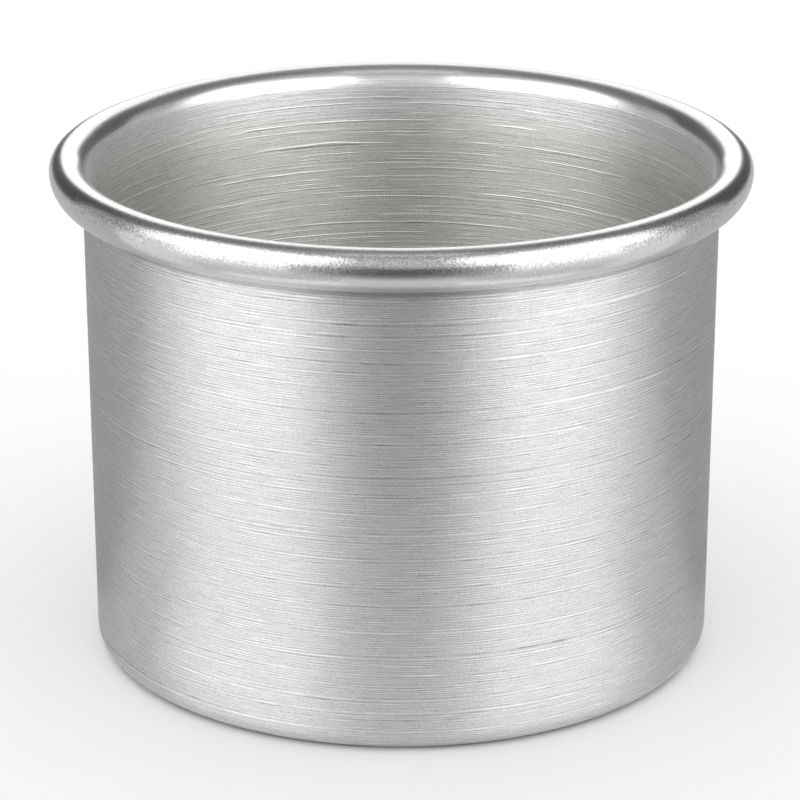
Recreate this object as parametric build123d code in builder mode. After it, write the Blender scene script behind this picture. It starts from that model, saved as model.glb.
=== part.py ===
"""Deep drawn metal cup: one piece of sheet, with a rim curled outward into a hollow bead.

Millimetres, +Z up. The origin is the centre of the base's underside.
"""
import os
from math import asin, cos, degrees, radians, sin

from build123d import *

# Driving dimensions
sheet_thickness = 1.0
cup_height = 81.0
# Outside diameter at the top of the wall, where the curl begins
wall_diameter = 100.0
# Lean of the wall, in degrees, so that the cup strips off its punch
draft_angle = 0.34
# Outside radius between the base and the wall
corner_radius = 3.0
# The curl's three radii, on its outer face: away from the wall, over the crown, and back under
flare_radius = 3.65
crown_radius = 2.45
roll_radius = 4.65
# Room between the curl's cut edge and the wall
edge_gap = 0.15

# Places worked out on the inside face of the sheet
wall_radius = wall_diameter / 2
lean = radians(draft_angle)
inner_corner_radius = corner_radius - sheet_thickness
wall_foot_height = sheet_thickness + inner_corner_radius * (1 - sin(lean))
wall_top_height = cup_height - flare_radius * (1 - sin(lean))
wall_length = (wall_top_height - wall_foot_height) / cos(lean)
wall_top_radius = wall_radius - sheet_thickness * cos(lean)
wall_foot_radius = wall_top_radius - wall_length * sin(lean)
floor_radius = wall_foot_radius - inner_corner_radius * cos(lean)
roll_centre_radius = wall_top_radius + flare_radius * cos(lean) + crown_radius - roll_radius
# How far the roll runs past its lowest point before its edge is cut
edge_reach = roll_centre_radius - wall_radius - edge_gap


def sheet_face(depth):
    """Draw one face of the sheet, depth behind the inside face, and return its two ends."""
    floor_height = sheet_thickness - depth
    end_radius = roll_radius - depth
    floor = Line((0, floor_height), (floor_radius, floor_height))
    corner = JernArc(floor @ 1, floor % 1, inner_corner_radius + depth, 90 - draft_angle)
    wall = PolarLine(corner @ 1, wall_length, direction=corner % 1)
    flare = JernArc(wall @ 1, wall % 1, flare_radius - depth, draft_angle - 90)
    crown = JernArc(flare @ 1, flare % 1, crown_radius - depth, -90)
    roll = JernArc(crown @ 1, crown % 1, end_radius, -90 - degrees(asin(edge_reach / end_radius)))
    return floor @ 0, roll @ 1


with BuildPart() as cup:
    with BuildSketch(Plane.XZ):
        with BuildLine():
            inside_axis, inside_edge = sheet_face(0)
            outside_axis, outside_edge = sheet_face(sheet_thickness)
            Line(inside_axis, outside_axis)
            Line(inside_edge, outside_edge)
        make_face()
    revolve(axis=Axis.Z)

cup.part.label = "cup"

os.makedirs("parts", exist_ok=True)
export_step(cup.part, "parts/cup.step")
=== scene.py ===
"""Deep drawn metal cup on a white studio floor, seen from the photograph's angle.

Metres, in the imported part's frame: +Z up, with the origin at the centre of the base's underside.
"""
from math import asin, cos, pi, radians, sin, tan
from types import SimpleNamespace

import bpy
import numpy as np
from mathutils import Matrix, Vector


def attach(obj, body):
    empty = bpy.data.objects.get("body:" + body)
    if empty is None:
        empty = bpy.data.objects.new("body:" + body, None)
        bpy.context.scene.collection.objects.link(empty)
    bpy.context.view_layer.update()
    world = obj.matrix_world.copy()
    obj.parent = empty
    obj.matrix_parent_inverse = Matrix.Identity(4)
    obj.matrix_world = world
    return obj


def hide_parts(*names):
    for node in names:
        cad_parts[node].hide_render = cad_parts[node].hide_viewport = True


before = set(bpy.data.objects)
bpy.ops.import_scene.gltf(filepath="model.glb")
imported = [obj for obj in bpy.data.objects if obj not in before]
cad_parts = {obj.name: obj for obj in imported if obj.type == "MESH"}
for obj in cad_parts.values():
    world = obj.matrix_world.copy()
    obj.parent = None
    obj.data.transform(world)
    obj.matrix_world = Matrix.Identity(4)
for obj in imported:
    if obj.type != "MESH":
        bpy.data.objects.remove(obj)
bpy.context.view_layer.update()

mm = 0.001

# Sizes of the cup, as in the part's source
sheet_thickness = 1.0 * mm
cup_height = 81.0 * mm
wall_radius = 50.0 * mm
draft_angle = radians(0.34)
corner_radius = 3.0 * mm
flare_radius = 3.65 * mm
crown_radius = 2.45 * mm
roll_radius = 4.65 * mm
edge_gap = 0.15 * mm

# Lowest point of the curl, and the middle of the mouth
curl_foot = cup_height - crown_radius - roll_radius
rim_centre = Vector((0, 0, cup_height))

# Where the mottle on the curl's face ends, as an angle from the level of the roll's centre
mottle_end = radians(-24)

# Fineness of the mesh
turn_steps = 320
flat_steps = 10
wall_steps = 24
corner_steps = 12
flare_steps = 22
crown_steps = 24
face_steps = 14
roll_steps = 30
hidden_steps = 14

# Sizes that the studio's panels share, with the angles in degrees
above_floor = 1 * mm
card_reach = 2.5
arch_radius = 2.6
upper_start = 45
upper_end = 84
upper_half_width = 0.45


# The cup's section


def straight(start, end, steps):
    """Points from start to end, each as radius, height and the unit normal on its left."""
    share = np.linspace(0, 1, steps + 1)[:, None]
    points = np.array(start) * (1 - share) + np.array(end) * share
    run = (np.array(end) - np.array(start)) / np.hypot(end[0] - start[0], end[1] - start[1])
    normals = np.tile([-run[1], run[0]], (steps + 1, 1))
    return np.hstack([points, normals])


def arc(centre, radius, start, end, steps, facing):
    """Points along an arc; its normals point outward where facing is 1, and to its centre where it is -1."""
    angle = np.linspace(start, end, steps + 1)
    ways = np.column_stack([np.cos(angle), np.sin(angle)])
    return np.hstack([np.array(centre) + radius * ways, facing * ways])


def cup_section():
    """The sheet's outline from the axis along the inside, over the curl and back along the outside.

    Each stretch is its points, then how polished, how mottled and how far inside its two ends are.
    """
    inner_corner = corner_radius - sheet_thickness
    wall_top = cup_height - flare_radius * (1 - sin(draft_angle))
    wall_foot = sheet_thickness + inner_corner * (1 - sin(draft_angle))
    top_radius = wall_radius - sheet_thickness * cos(draft_angle)
    foot_radius = top_radius - (wall_top - wall_foot) * tan(draft_angle)
    floor_radius = foot_radius - inner_corner * cos(draft_angle)
    flare_centre = (top_radius + flare_radius * cos(draft_angle), cup_height - flare_radius)
    crown_centre = (flare_centre[0], cup_height - crown_radius)
    roll_centre = (crown_centre[0] + crown_radius - roll_radius, crown_centre[1])
    corner_centre = (floor_radius, corner_radius)

    def behind(radius):
        """Radius on the curl's hidden face, where its outer face has that radius."""
        return radius - sheet_thickness

    # The cut edge lies straight up and down, just clear of the wall
    reach = roll_centre[0] - wall_radius - edge_gap
    under_end = -pi / 2 - asin(reach / roll_radius)
    over_end = -pi / 2 - asin(reach / behind(roll_radius))

    wall_side = pi - draft_angle
    inside_floor = straight((0, sheet_thickness), (floor_radius, sheet_thickness), flat_steps)
    inside_corner = arc(corner_centre, inner_corner, -pi / 2, -draft_angle, corner_steps, -1)
    inside_wall = straight((foot_radius, wall_foot), (top_radius, wall_top), wall_steps)
    flare = arc(flare_centre, flare_radius, wall_side, pi / 2, flare_steps, 1)
    crown = arc(crown_centre, crown_radius, pi / 2, 0, crown_steps, 1)
    roll_face = arc(roll_centre, roll_radius, 0, mottle_end, face_steps, 1)
    roll = arc(roll_centre, roll_radius, mottle_end, under_end, roll_steps, 1)
    back_of_roll = arc(roll_centre, behind(roll_radius), over_end, 0, hidden_steps, -1)
    cut_edge = straight(roll[-1, :2], back_of_roll[0, :2], 1)
    back_of_crown = arc(crown_centre, behind(crown_radius), 0, pi / 2, hidden_steps, -1)
    back_of_flare = arc(flare_centre, behind(flare_radius), pi / 2, wall_side, hidden_steps, -1)
    outside_corner = arc(corner_centre, corner_radius, -draft_angle, -pi / 2, corner_steps, 1)
    outside_wall = straight(back_of_flare[-1, :2], outside_corner[0, :2], wall_steps)
    base = straight(outside_corner[-1, :2], (0, 0), flat_steps)

    # How far inside the top of the wall counts as, and how mottled the top of the crown is
    mouth = 0.3
    crown_top = 0.3
    none, full = (0, 0), (1, 1)
    return [
        (inside_floor, none, none, full),
        (inside_corner, none, none, full),
        (inside_wall, none, none, (1, mouth)),
        (flare, (0, 1), (0, crown_top), (mouth, 0)),
        (crown, full, (crown_top, 1), none),
        (roll_face, full, (1, 0), none),
        (roll, full, none, none),
        (cut_edge, full, none, none),
        (back_of_roll, (1, 0), none, none),
        (back_of_crown, none, none, none),
        (back_of_flare, none, none, none),
        (outside_wall, none, none, none),
        (outside_corner, none, none, none),
        (base, none, none, none),
    ]


# The cup's mesh


def turned(radius, height):
    """The point at each step of a turn about Z, for one point of the section or for its normal."""
    angle = np.arange(turn_steps) * 2 * pi / turn_steps
    return np.column_stack([radius * np.cos(angle), radius * np.sin(angle), np.full(turn_steps, height)])


def joined_section():
    """The stretches in one run: its corners, the normals at both ends of each step, and its finish zones."""
    corners, normal_pairs = [], []
    zones = {"polish": [], "mottle": [], "inside": []}
    for points, *zone_ends in cup_section():
        share = np.linspace(0, 1, len(points))
        first = 1 if corners else 0
        corners.extend(points[first:, :2])
        normal_pairs.extend(zip(points[:-1, 2:], points[1:, 2:]))
        for values, ends in zip(zones.values(), zone_ends):
            values.extend(np.interp(share, (0, 1), ends)[first:])
    return np.array(corners), normal_pairs, zones


def make_cup():
    """Turn the section into one closed mesh, with true normals, a UV map and its finish zones."""
    corners, normal_pairs, zones = joined_section()
    steps = np.linalg.norm(np.diff(corners, axis=0), axis=1)
    runs = np.concatenate([[0], np.cumsum(steps)])

    last = len(corners) - 1
    vertices = [np.array([[0, 0, corners[0][1]]])]
    vertices += [turned(*corner) for corner in corners[1:-1]]
    vertices += [np.array([[0, 0, corners[last][1]]])]
    owners = np.concatenate([np.full(len(ring), place) for place, ring in enumerate(vertices)])
    starts = np.concatenate([[0], np.cumsum([len(ring) for ring in vertices])])

    here = np.arange(turn_steps)
    beside = (here + 1) % turn_steps
    around = here / turn_steps
    further = (here + 1) / turn_steps
    between = (around + further) / 2
    faces, normals, uvs = [], [], []
    for place, (start_normal, end_normal) in enumerate(normal_pairs):
        low, high = starts[place], starts[place + 1]
        start_ring, end_ring = turned(*start_normal), turned(*end_normal)
        start_run, end_run = np.full(turn_steps, runs[place]), np.full(turn_steps, runs[place + 1])
        low_here = (low + here, start_ring, (around, start_run))
        low_beside = (low + beside, start_ring[beside], (further, start_run))
        high_here = (high + here, end_ring, (around, end_run))
        high_beside = (high + beside, end_ring[beside], (further, end_run))
        if place == 0:
            low_here = (np.full(turn_steps, low), start_ring, (between, start_run))
            loops = [low_here, high_here, high_beside]
        elif place == last - 1:
            high_here = (np.full(turn_steps, high), end_ring, (between, end_run))
            loops = [low_here, high_here, low_beside]
        else:
            loops = [low_here, high_here, high_beside, low_beside]
        faces.extend(np.column_stack([loop[0] for loop in loops]).tolist())
        normals.append(np.stack([loop[1] for loop in loops], axis=1).reshape(-1, 3))
        uvs.append(np.stack([np.column_stack(loop[2]) for loop in loops], axis=1).reshape(-1, 2))

    mesh = bpy.data.meshes.new("cup_shell")
    mesh.from_pydata(np.vstack(vertices).tolist(), [], faces)
    mesh.shade_smooth()
    mesh.normals_split_custom_set(np.vstack(normals).tolist())
    mesh.uv_layers.new(name="turn").data.foreach_set("uv", np.vstack(uvs).astype(np.float32).ravel())
    for name, values in zones.items():
        layer = mesh.attributes.new(name, "FLOAT", "POINT")
        layer.data.foreach_set("value", np.array(values, np.float32)[owners])
    cup = bpy.data.objects.new("cup_shell", mesh)
    bpy.context.scene.collection.objects.link(cup)
    return cup


# Nodes of the materials


class Graph:
    """A material's nodes, with a short call for each kind that the finishes use."""

    def __init__(self, name):
        self.material = bpy.data.materials.new(name)
        self.material.use_nodes = True
        self.tree = self.material.node_tree
        self.tree.nodes.clear()

    def add(self, kind, **settings):
        node = self.tree.nodes.new("ShaderNode" + kind)
        for name, value in settings.items():
            setattr(node, name, value)
        return node

    def feed(self, socket, value):
        """Link value to the socket if it is an output, or else set it as the socket's own."""
        if isinstance(value, bpy.types.NodeSocket):
            self.tree.links.new(value, socket)
        else:
            socket.default_value = value

    def math(self, operation, first, second=0.0, third=0.0):
        node = self.add("Math", operation=operation)
        for socket, value in zip(node.inputs, (first, second, third)):
            self.feed(socket, value)
        return node.outputs[0]

    def product(self, first, *others):
        """All the values multiplied together."""
        for other in others:
            first = self.math("MULTIPLY", first, other)
        return first

    def total(self, start, *weighted):
        """The start, plus each further value times its weight."""
        for value, weight in weighted:
            start = self.math("MULTIPLY_ADD", value, weight, start)
        return start

    def span(self, value, low, high, to_low=0.0, to_high=1.0):
        """Map low..high to to_low..to_high, eased at both ends and held beyond them."""
        node = self.add("MapRange", interpolation_type="SMOOTHSTEP")
        for socket, given in zip(node.inputs, (value, low, high, to_low, to_high)):
            self.feed(socket, given)
        return node.outputs["Result"]

    def mix(self, factor, first, second):
        node = self.add("Mix", data_type="FLOAT")
        for socket, value in zip(("Factor", "A", "B"), (factor, first, second)):
            self.feed(node.inputs[socket], value)
        return node.outputs["Result"]

    def mix_colour(self, factor, first, second):
        node = self.add("MixRGB")
        for socket, value in zip(("Fac", "Color1", "Color2"), (factor, first, second)):
            self.feed(node.inputs[socket], value)
        return node.outputs["Color"]

    def value(self, name):
        """The number that the mesh stores under that name."""
        return self.add("Attribute", attribute_name=name).outputs["Fac"]

    def place(self):
        """The point in the object's own frame, as outputs named X, Y and Z."""
        split = self.add("SeparateXYZ")
        self.feed(split.inputs[0], self.add("TexCoord").outputs["Object"])
        return split.outputs

    def shader(self, colour, roughness, metallic=0.0):
        node = self.add("BsdfPrincipled")
        self.feed(node.inputs["Base Color"], colour)
        self.feed(node.inputs["Roughness"], roughness)
        node.inputs["Metallic"].default_value = metallic
        output = self.add("OutputMaterial")
        self.feed(output.inputs["Surface"], node.outputs[0])
        return node

    def dull(self, level):
        """A grey surface with no gloss."""
        shader = self.shader((level, level, level, 1), 1.0)
        shader.inputs["Specular IOR Level"].default_value = 0.0
        return shader

    def glow(self, strength):
        """A black surface that gives white light of that strength."""
        shader = self.dull(0)
        shader.inputs["Emission Color"].default_value = (1, 1, 1, 1)
        self.feed(shader.inputs["Emission Strength"], strength)


class TurnedGraph(Graph):
    """Nodes for a turned surface, whose marks run round the axis without a seam."""

    def __init__(self, name):
        super().__init__(name)
        split = self.add("SeparateXYZ")
        self.feed(split.inputs[0], self.add("UVMap", uv_map="turn").outputs[0])
        angle = self.math("MULTIPLY", split.outputs["X"], 2 * pi)
        self.across = self.math("COSINE", angle)
        self.ahead = self.math("SINE", angle)
        self.run = split.outputs["Y"]
        self.height = self.place()["Z"]

    def streaks(self, length, width, detail=2.0, shift=0.0):
        """Noise from 0 to 1 in streaks of that length round the wall and that width along the section."""
        noise_roughness = 0.6
        place = self.add("CombineXYZ")
        self.feed(place.inputs["X"], self.math("MULTIPLY", self.across, wall_radius / length))
        self.feed(place.inputs["Y"], self.math("MULTIPLY", self.ahead, wall_radius / length))
        self.feed(place.inputs["Z"], self.math("MULTIPLY_ADD", self.run, 1 / width, shift))
        noise = self.add("TexNoise")
        self.feed(noise.inputs["Vector"], place.outputs[0])
        noise.inputs["Scale"].default_value = 1.0
        noise.inputs["Detail"].default_value = detail
        noise.inputs["Roughness"].default_value = noise_roughness
        return noise.outputs["Fac"]

    def wave(self, period, shift):
        """A wave from -1 to 1 along the section, whose crests run round the axis and wander a little."""
        wander_length, wander_width = 200 * period, 3 * period
        wander_periods = 3.0
        wander = self.streaks(wander_length, wander_width, detail=0.5, shift=shift)
        phase = self.math("MULTIPLY_ADD", wander, wander_periods, self.math("MULTIPLY", self.run, 1 / period))
        return self.math("SINE", self.math("MULTIPLY", phase, 2 * pi))

    def stretches(self, length, width, shift, threshold=0.58):
        """1 in scattered stretches of about that size, and 0 elsewhere; a lower threshold keeps more."""
        fade = 0.12
        noise = self.streaks(length, width, detail=1.0, shift=shift)
        return self.span(noise, threshold, threshold + fade)


# The cup's metal


def finish_zones(graph):
    """Where the metal is polished, mottled, inside the cup and deep inside it, each from 0 to 1."""
    inward = graph.value("inside")
    return SimpleNamespace(
        polished=graph.span(graph.value("polish"), low=0.0, high=0.4),
        mottled=graph.span(graph.value("mottle"), low=0.3, high=0.8),
        inside=graph.span(inward, low=0.05, high=0.25),
        deep=graph.span(inward, low=0.3, high=0.4),
    )


def finish_marks(graph, zones):
    """Brush lines, some of them bright or dark, wider score lines inside, and noise of three sizes."""
    brush_period, brush_width = 0.38 * mm, 0.4 * mm
    score_period = 0.95 * mm
    wave = graph.wave(brush_period, shift=31.0)
    strength = graph.streaks(length=5 * mm, width=brush_width, detail=1.0, shift=3.0)
    bright_stretches = graph.stretches(length=7 * mm, width=brush_width, shift=77.0)
    dark_stretches = graph.stretches(length=4.3 * mm, width=brush_width, shift=53.0)
    score_wave = graph.wave(score_period, shift=11.0)
    score_stretches = graph.stretches(length=16 * mm, width=score_period, shift=83.0, threshold=0.42)
    return SimpleNamespace(
        brush=graph.product(wave, graph.span(strength, low=0.3, high=0.7)),
        bright=graph.product(graph.span(wave, low=0.5, high=1.0), bright_stretches),
        dark=graph.product(graph.span(wave, low=-0.5, high=-1.0), dark_stretches),
        scores=graph.product(graph.span(score_wave, low=0.65, high=1.0), score_stretches, zones.inside),
        broad=graph.streaks(length=60 * mm, width=4 * mm, shift=67.0),
        grain=graph.streaks(length=0.2 * mm, width=0.2 * mm, detail=1.0, shift=19.0),
        mottle=graph.streaks(length=0.42 * mm, width=0.3 * mm, detail=1.0, shift=43.0),
    )


def metal_colour(graph, zones, marks):
    """Neutral outside and at the mouth, warmer deep inside, with painted light and painted shade where curl
    and wall meet.
    """
    # One metal in three levels: the inside, and most of all the mouth, is painted lighter than the outside as
    # painted light; deep inside it is also warmer
    outside_tint = (0.60, 0.60, 0.60, 1)
    lit_mouth_tint = (0.91, 0.91, 0.91, 1)
    deep_tint = (0.72, 0.71, 0.68, 1)
    outside_brush, inside_brush = 0.32, 0.26
    bright_glint_gain, dark_loss, score_glint_gain = 0.28, 0.25, 0.3
    grain_gain, mottle_gain = 0.7, 1.1
    noise_middle = 0.5
    # How much painted light the curl's foot gets, and how much painted shade the wall below it gets
    curl_light_gain, crease_shade_loss = 0.35, 0.34

    tint = graph.mix_colour(zones.inside, outside_tint, graph.mix_colour(zones.deep, lit_mouth_tint, deep_tint))
    # Brush and score lines are real marks; the added lightness of their bright stretches and of the score
    # lines is a painted highlight for glints
    lines = graph.product(marks.brush, graph.mix(zones.inside, outside_brush, inside_brush))
    lines = graph.total(lines, (marks.bright, bright_glint_gain), (marks.dark, -dark_loss))
    lines = graph.total(lines, (marks.scores, score_glint_gain))
    unpolished = graph.math("SUBTRACT", 1.0, zones.polished)
    grain = graph.math("SUBTRACT", marks.grain, noise_middle)
    speckle = graph.product(graph.math("SUBTRACT", marks.mottle, noise_middle), zones.mottled)
    level = graph.total(1.0, (lines, unpolished), (grain, grain_gain), (speckle, mottle_gain))

    # Painted light makes the curl lighter at its foot, and painted shade makes the wall darker just below it
    # and behind it
    lit_low, lit_high = curl_foot + 0.2 * mm, curl_foot + 1.8 * mm
    shade_low, shade_high = curl_foot - 1.5 * mm, curl_foot - 0.9 * mm
    painted_curl_light = graph.span(graph.height, lit_low, lit_high, to_low=1 + curl_light_gain, to_high=1.0)
    painted_crease_shade = graph.span(graph.height, shade_low, shade_high, to_low=1.0, to_high=1 - crease_shade_loss)
    level = graph.product(level, graph.mix(zones.polished, graph.mix(zones.inside, painted_crease_shade, 1.0), painted_curl_light))
    shaded = graph.add("VectorMath", operation="SCALE")
    graph.feed(shaded.inputs[0], tint)
    graph.feed(shaded.inputs["Scale"], level)
    return shaded.outputs[0]


def metal_roughness(graph, zones, marks):
    """Dull on the wall, more so inside, and bright on the curl and along the score lines."""
    wall_least, wall_most = 0.43, 0.455
    inside_gain, score_loss = 0.03, 0.19
    rim_roughness = 0.21
    wall = graph.span(marks.broad, low=0.3, high=0.7, to_low=wall_least, to_high=wall_most)
    wall = graph.total(wall, (zones.inside, inside_gain), (marks.scores, -score_loss))
    return graph.mix(zones.polished, wall, rim_roughness)


def metal_relief(graph, zones, marks):
    """Normals for brush lines and grain on the wall, score lines inside, and a mottle on the curl's face."""
    relief_depth = 0.1 * mm
    brush_share, score_share, mottle_share = 0.05, 0.7, 0.25
    outside_grain, inside_grain = 0.2, 0.5
    grain_share = graph.mix(zones.inside, outside_grain, inside_grain)
    wall = graph.product(marks.brush, brush_share)
    wall = graph.total(wall, (marks.grain, grain_share), (marks.scores, score_share))
    rim = graph.product(marks.mottle, zones.mottled, mottle_share)
    bump = graph.add("Bump")
    bump.inputs["Strength"].default_value = 1.0
    bump.inputs["Distance"].default_value = relief_depth
    graph.feed(bump.inputs["Height"], graph.mix(zones.polished, wall, rim))
    return bump.outputs[0]


def brushed_aluminium():
    """Drawn aluminium, brushed round the axis, with a brighter rim and deeper score lines inside."""
    stretch, quarter_turn = 0.9, 0.25
    graph = TurnedGraph("brushed_aluminium")
    zones = finish_zones(graph)
    marks = finish_marks(graph, zones)
    colour = metal_colour(graph, zones, marks)
    shader = graph.shader(colour, metal_roughness(graph, zones, marks), metallic=1.0)
    shader.inputs["Anisotropic"].default_value = stretch
    shader.inputs["Anisotropic Rotation"].default_value = quarter_turn
    tangent = graph.add("Tangent", direction_type="RADIAL", axis="Z")
    graph.feed(shader.inputs["Tangent"], tangent.outputs[0])
    graph.feed(shader.inputs["Normal"], metal_relief(graph, zones, marks))
    return graph.material


# The studio's materials


def matte(name, level):
    """A dull grey."""
    graph = Graph(name)
    graph.dull(level)
    return graph.material


def glow(name, level):
    """An even light."""
    graph = Graph(name)
    graph.glow(level)
    return graph.material


def floor_light(near):
    """Floor in a softbox's light, brighter from near outward, as it comes closer to the box."""
    far = 280 * mm
    near_level, far_level = 0.7, 1.85
    graph = Graph("floor_light")
    distance = graph.add("VectorMath", operation="LENGTH")
    graph.feed(distance.inputs[0], graph.add("TexCoord").outputs["Object"])
    graph.glow(graph.span(distance.outputs["Value"], near, far, near_level, far_level))
    return graph.material


def front_shade():
    """Floor in the shade in front of the cup, darkest in the middle and lighter to each side."""
    dark_turn, light_turn = radians(3), radians(42)
    dark_level, light_level = 0.08, 0.85
    graph = Graph("front_shade")
    place = graph.place()
    slant = graph.math("ABSOLUTE", graph.math("DIVIDE", place["X"], place["Y"]))
    graph.glow(graph.span(slant, tan(dark_turn), tan(light_turn), dark_level, light_level))
    return graph.material


def softbox_light(half_width, half_height):
    """A lit cloth, even in the middle and fading to the studio's grey at its edges."""
    radiance, edge_radiance = 2.25, 0.45
    side_fade, end_fade = 0.6, 0.12
    graph = Graph("softbox_light")
    place = graph.place()
    level = radiance - edge_radiance
    for axis, half, fade in (("X", half_width, side_fade), ("Y", half_height, end_fade)):
        distance = graph.math("ABSOLUTE", place[axis])
        level = graph.product(graph.span(distance, half * (1 - fade), half, to_low=1.0, to_high=0.0), level)
    graph.glow(graph.math("ADD", level, edge_radiance))
    return graph.material


# Studio


def direction(azimuth, elevation):
    """Unit vector towards that azimuth, measured from the camera's side to the right, and elevation."""
    turn, rise = radians(azimuth), radians(elevation)
    return Vector((sin(turn) * cos(rise), -cos(turn) * cos(rise), sin(rise)))


def ring_panel(azimuth, half_turn, near, far):
    """Corners of a panel that spans those azimuths, from near to far, each a distance and a height."""
    first, second = direction(azimuth - half_turn, 0), direction(azimuth + half_turn, 0)
    up = Vector((0, 0, 1))
    rows = [(near, first), (near, second), (far, second), (far, first)]
    return [way * distance + up * height for (distance, height), way in rows]


def floor_panel(azimuth, half_turn, near, far, layer=1):
    """Corners of a panel that lies just above the floor, with higher layers over lower ones."""
    height = layer * above_floor
    return ring_panel(azimuth, half_turn, (near, height), (far, height))


def arch_panel(start, end, left, right):
    """Corners of a panel between two angles, measured from the back's horizon over the top to the front's."""
    rows = [(left, start), (right, start), (right, end), (left, end)]
    return [(x, arch_radius * cos(radians(angle)), arch_radius * sin(radians(angle))) for x, angle in rows]


def middle_panel(start, end, half_width):
    """Corners of an arch panel that reaches equally far to both sides."""
    return arch_panel(start, end, -half_width, half_width)


def make_card(name, corners, material):
    """One flat panel that only shows as a reflection in the metal."""
    mesh = bpy.data.meshes.new(name)
    mesh.from_pydata([tuple(corner) for corner in corners], [], [tuple(range(len(corners)))])
    mesh.materials.append(material)
    card = bpy.data.objects.new(name, mesh)
    card.visible_camera = False
    card.visible_diffuse = False
    card.visible_shadow = False
    bpy.context.scene.collection.objects.link(card)
    return card


def make_sweep():
    """The white floor, curving up behind the cup into a backdrop."""
    white = 0.96
    half_width, front, back, bend, top = 9.0, -9.0, 3.6, 0.8, 2.6
    bend_steps = 16
    line = [(front, 0.0), (back - bend, 0.0)]
    for step in range(1, bend_steps + 1):
        angle = pi / 2 * step / bend_steps
        line.append((back - bend + bend * sin(angle), bend - bend * cos(angle)))
    line.append((back, top))
    vertices = [(side * half_width, y, z) for y, z in line for side in (-1, 1)]
    faces = [(2 * i, 2 * i + 1, 2 * i + 3, 2 * i + 2) for i in range(len(line) - 1)]
    mesh = bpy.data.meshes.new("sweep")
    mesh.from_pydata(vertices, [], faces)
    mesh.shade_smooth()
    mesh.materials.append(matte("white_sweep", white))
    sweep = bpy.data.objects.new("sweep", mesh)
    bpy.context.scene.collection.objects.link(sweep)


def make_ceiling():
    """A wide lamp overhead that lights the floor evenly."""
    size, height, radiance = 6.0, 2.6, 0.93
    lamp = bpy.data.lights.new("ceiling", "AREA")
    lamp.size = size
    lamp.energy = radiance * pi * size * size
    ceiling = bpy.data.objects.new("ceiling", lamp)
    ceiling.location = (0, 0, height)
    ceiling.visible_camera = False
    ceiling.visible_glossy = False
    bpy.context.scene.collection.objects.link(ceiling)


def make_softboxes():
    """A large lit panel on each side of the cup, square to it, that the metal reflects."""
    left_azimuth, right_azimuth, elevation = -56, 54.5, 27.0
    half_width_angle, half_height_angle = radians(42.5), radians(32)
    distance = 2.9
    half_width = distance * tan(half_width_angle)
    half_height = distance * tan(half_height_angle)
    light = softbox_light(half_width, half_height)
    corners = [(-half_width, -half_height, 0), (half_width, -half_height, 0)]
    corners += [(half_width, half_height, 0), (-half_width, half_height, 0)]
    for side, azimuth in (("left", left_azimuth), ("right", right_azimuth)):
        way = direction(azimuth, elevation)
        box = make_card(side + "_softbox", corners, light)
        box.location = way * distance + rim_centre
        box.rotation_euler = (-way).to_track_quat("-Z", "Y").to_euler()


def make_side_cards(shade):
    """What each side of the cup reflects: shade behind, dull and lit floor beside, and shade overhead."""
    flag_height = 2.6
    lit_start, lit_edge, lit_reach = 62 * mm, 80 * mm, 2.4
    side_reach = 3.0
    dull_floor = matte("light_grey_card", 0.6)
    upper_shade = glow("upper_shade", 0.18)
    lit_floor = floor_light(lit_edge)
    near_floor = glow("near_floor_light", 1.5)
    for side, sign in (("left", -1), ("right", 1)):
        flag_foot, flag_top = (card_reach, 0.0), (card_reach, flag_height)
        flag = ring_panel(azimuth=147 * sign, half_turn=23, near=flag_foot, far=flag_top)
        make_card(side + "_flag", flag, shade)
        floor_card = floor_panel(azimuth=131 * sign, half_turn=36, near=65 * mm, far=card_reach)
        make_card(side + "_floor_card", floor_card, dull_floor)
        lit_panel = floor_panel(azimuth=44 * sign, half_turn=26, near=lit_edge, far=lit_reach)
        make_card(side + "_floor_panel", lit_panel, lit_floor)
        near_panel = floor_panel(azimuth=42 * sign, half_turn=23, near=lit_start, far=lit_edge)
        make_card(side + "_near_panel", near_panel, near_floor)
        upper_card = arch_panel(upper_start, upper_end, upper_half_width * sign, side_reach * sign)
        make_card(side + "_upper_card", upper_card, upper_shade)


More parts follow.
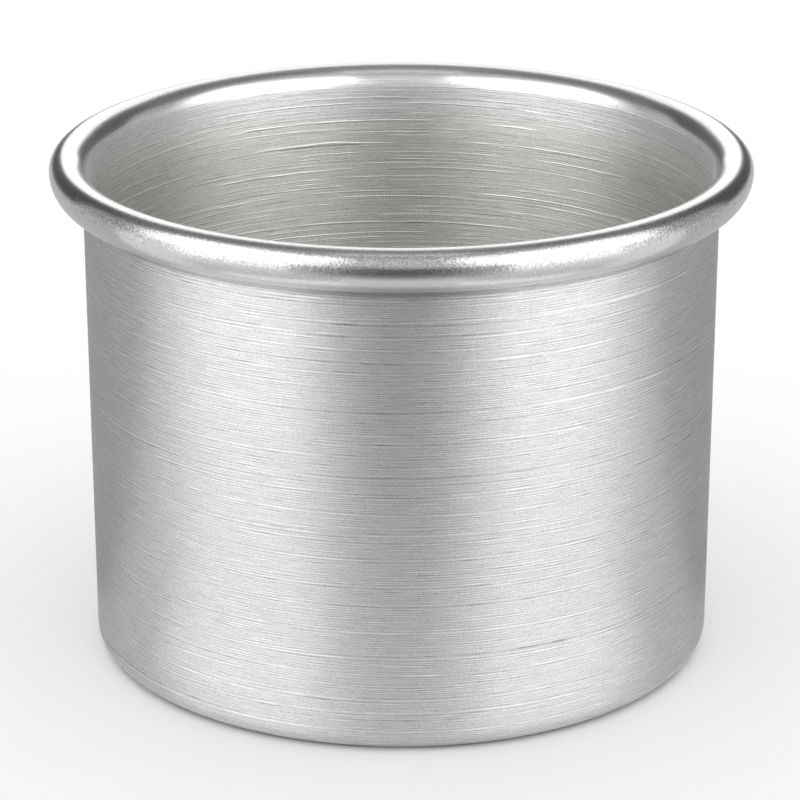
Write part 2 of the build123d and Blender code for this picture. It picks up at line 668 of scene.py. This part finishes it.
def make_middle_cards(shade):
    """What the middle of the cup reflects, from the floor behind it over the top to the floor in front."""
    back_floor = floor_panel(azimuth=180, half_turn=12, near=70 * mm, far=card_reach, layer=2)
    make_card("back_floor_card", back_floor, shade)
    back_card = middle_panel(start=0, end=6, half_width=0.55)
    make_card("back_card", back_card, shade)
    back_panel = middle_panel(start=7, end=43, half_width=0.75)
    make_card("back_panel", back_panel, glow("back_light", 1.7))
    upper_back_card = middle_panel(upper_start, upper_end, upper_half_width)
    make_card("upper_back_card", upper_back_card, glow("upper_back_light", 0.3))
    top_strip = middle_panel(start=89, end=98, half_width=0.5)
    make_card("top_strip", top_strip, glow("top_light", 1.2))
    front_panel = middle_panel(start=122, end=172, half_width=0.6)
    make_card("front_panel", front_panel, glow("front_light", 0.75))
    front_card = floor_panel(azimuth=0, half_turn=32, near=135 * mm, far=0.9, layer=2)
    make_card("front_card", front_card, front_shade())


def make_world():
    """The studio's dim grey surroundings."""
    grey = 0.45
    world = bpy.data.worlds.new("studio")
    world.use_nodes = True
    background = world.node_tree.nodes["Background"]
    background.inputs["Color"].default_value = (grey, grey, grey, 1)
    background.inputs["Strength"].default_value = 1.0
    bpy.context.scene.world = world


def make_camera():
    """The photograph's camera."""
    image_size = 800
    focal_pixels = 3621.8
    centre_pixel = 401.35
    sensor_width = 36.0
    distance, height = 547.07 * mm, 237.29 * mm
    pitch = radians(19.93)
    data = bpy.data.cameras.new("camera")
    data.sensor_width = sensor_width
    data.lens = focal_pixels / image_size * sensor_width
    data.shift_x = (image_size / 2 - centre_pixel) / image_size
    camera = bpy.data.objects.new("camera", data)
    camera.location = (0, -distance, height)
    camera.rotation_euler = (pi / 2 - pitch, 0, 0)
    bpy.context.scene.collection.objects.link(camera)
    bpy.context.scene.camera = camera


cup = make_cup()
cup.data.materials.append(brushed_aluminium())
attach(cup, "root")
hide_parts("cup")

make_sweep()
make_ceiling()
make_softboxes()
shade = glow("shade", 0.1)
make_side_cards(shade)
make_middle_cards(shade)
make_world()
make_camera()
bpy.context.scene.view_settings.view_transform = "Standard"
